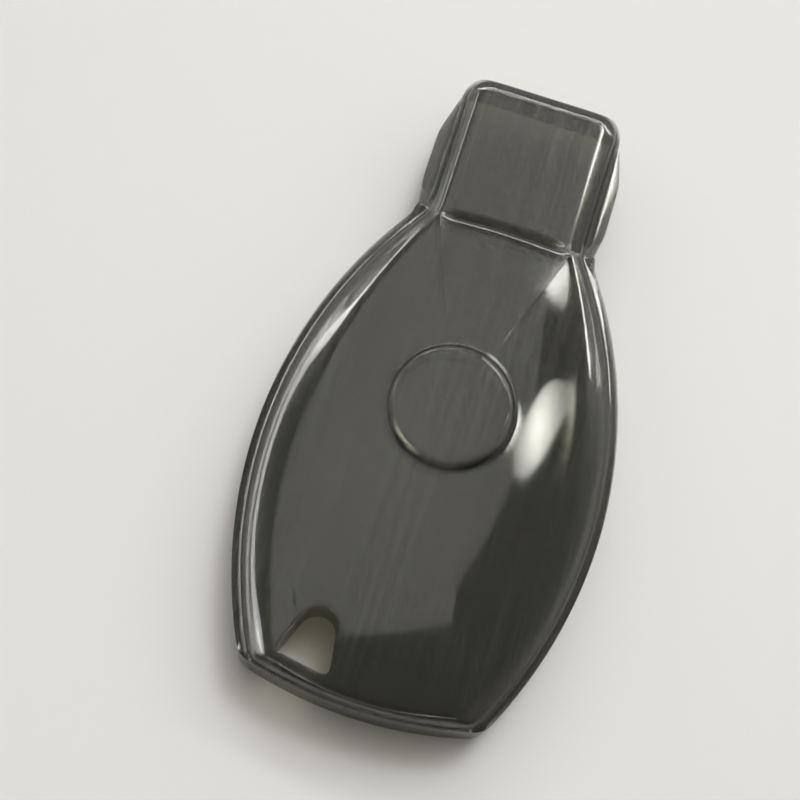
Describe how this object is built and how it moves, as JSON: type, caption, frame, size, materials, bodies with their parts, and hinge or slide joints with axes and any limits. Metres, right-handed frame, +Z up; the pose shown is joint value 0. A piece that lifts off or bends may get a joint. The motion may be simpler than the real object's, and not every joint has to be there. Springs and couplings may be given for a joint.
{
  "type": "key fob cover",
  "caption": "Nest of thin half covers for a car key fob: crowned oval body, round boss, raised head with side tabs, flat rim and a D-shaped key ring slot.",
  "frame": {"origin": "centre of the bounding box in plan, on the plane that the lowest rim stands on", "axes": "+Z up, out of the crowned faces; +Y from the tail with the key ring slot to the rectangular head; +X across, with the slot on the -X side"},
  "size_m": [0.0454, 0.086, 0.0122],
  "materials": {
    "smoke_plastic": "glossy translucent smoke grey, clear enough to see the covers below"
  },
  "bodies": {
    "cover_1": {"cover_1": "smoke_plastic"},
    "cover_2": {"cover_2": "smoke_plastic"},
    "cover_3": {"cover_3": "smoke_plastic"},
    "cover_4": {"cover_4": "smoke_plastic"},
    "cover_5": {"cover_5": "smoke_plastic"},
    "cover_6": {"cover_6": "smoke_plastic"},
    "cover_7": {"cover_7": "smoke_plastic"}
  },
  "joints": [
    {"name": "lift_2", "type": "slide", "parent": "cover_1", "child": "cover_2", "axis": [0, 0, 1], "range_m": [0, 0.015]},
    {"name": "lift_3", "type": "slide", "parent": "cover_2", "child": "cover_3", "axis": [0, 0, 1], "range_m": [0, 0.015]},
    {"name": "lift_4", "type": "slide", "parent": "cover_3", "child": "cover_4", "axis": [0, 0, 1], "range_m": [0, 0.015]},
    {"name": "lift_5", "type": "slide", "parent": "cover_4", "child": "cover_5", "axis": [0, 0, 1], "range_m": [0, 0.015]},
    {"name": "lift_6", "type": "slide", "parent": "cover_5", "child": "cover_6", "axis": [0, 0, 1], "range_m": [0, 0.015]},
    {"name": "lift_7", "type": "slide", "parent": "cover_6", "child": "cover_7", "axis": [0, 0, 1], "range_m": [0, 0.015]}
  ]
}
